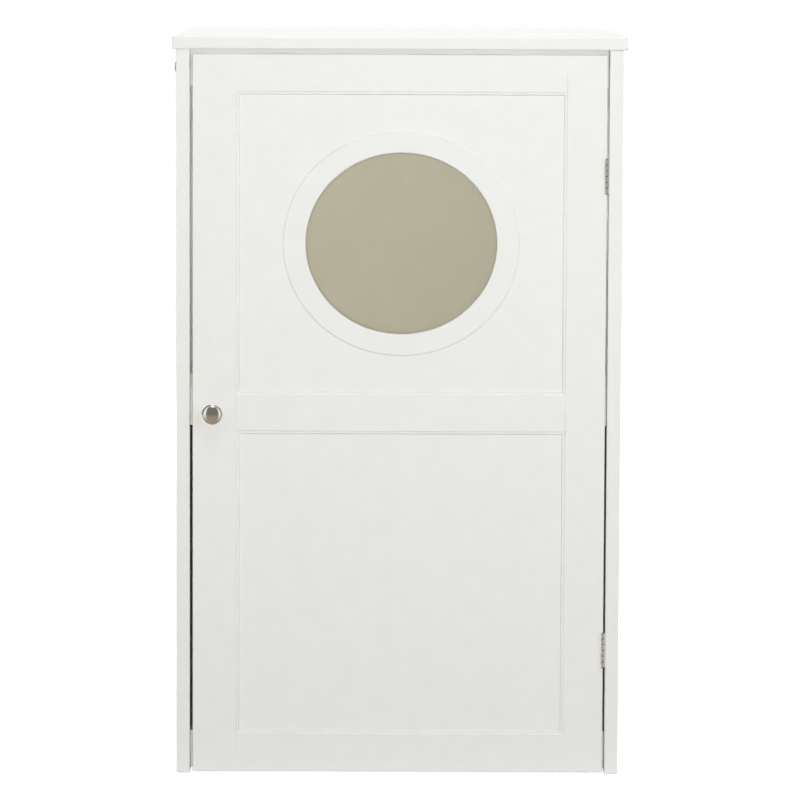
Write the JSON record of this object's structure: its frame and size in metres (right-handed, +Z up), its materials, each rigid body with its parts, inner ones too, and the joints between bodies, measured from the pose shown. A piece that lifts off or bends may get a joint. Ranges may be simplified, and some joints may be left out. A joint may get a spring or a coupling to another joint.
{
  "type": "cat house",
  "caption": "White painted cabinet for cats: an upright box with a hinged frame-and-panel door, an oval entrance in its upper part, a shelf with a passage down, a knob and butt hinges.",
  "frame": {"origin": "on the floor, under the middle of the whole object's box, its knob included", "axes": "+Z up, the door faces -Y, +X to the right as seen from the front"},
  "size_m": [0.53, 0.5996, 0.867],
  "materials": {
    "painted_board": "satin white lacquer on medium density fibreboard",
    "cream_board": "cream melamine facing on fibreboard",
    "beech": "bare beech",
    "nickel_steel": "nickel plated steel",
    "satin_nickel": "satin nickel on cast zinc",
    "zinc_steel": "bright zinc plated steel",
    "white_plastic": "moulded white plastic",
    "ferrite": "sintered ferrite"
  },
  "bodies": {
    "cabinet": {"left_side": "painted_board", "right_side": "painted_board", "top_board": "painted_board", "base_panel": "cream_board", "shelf": "cream_board", "back_panel": "cream_board", "top_front_rail": "painted_board", "middle_front_rail": "painted_board", "bottom_front_rail": "painted_board", "top_rear_rail": "painted_board", "case_bolts": "zinc_steel", "barrel_nuts": "zinc_steel", "case_dowels": "beech", "top_screws": "zinc_steel", "catch_housing": "white_plastic", "catch_magnet": "ferrite", "catch_poles": "zinc_steel", "catch_screws": "zinc_steel", "upper_hinge_case_leaf": "nickel_steel", "upper_hinge_pin": "nickel_steel", "lower_hinge_case_leaf": "nickel_steel", "lower_hinge_pin": "nickel_steel", "hinge_case_screws": "nickel_steel"},
    "door": {"door_left_stile": "painted_board", "door_right_stile": "painted_board", "door_top_rail": "painted_board", "door_middle_rail": "painted_board", "door_bottom_rail": "painted_board", "door_upper_panel": "painted_board", "door_lower_panel": "painted_board", "entrance_trim": "painted_board", "door_dowels": "beech", "knob": "satin_nickel", "knob_screw": "zinc_steel", "strike_plate": "zinc_steel", "strike_screw": "zinc_steel", "upper_hinge_door_leaf": "nickel_steel", "lower_hinge_door_leaf": "nickel_steel", "hinge_door_screws": "nickel_steel"}
  },
  "joints": [
    {"name": "door_swing", "type": "hinge", "parent": "cabinet", "child": "door", "pos_m": [0.24185, -0.27795, 0.4245], "axis": [0, 0, 1], "range_deg": [0, 180]}
  ]
}
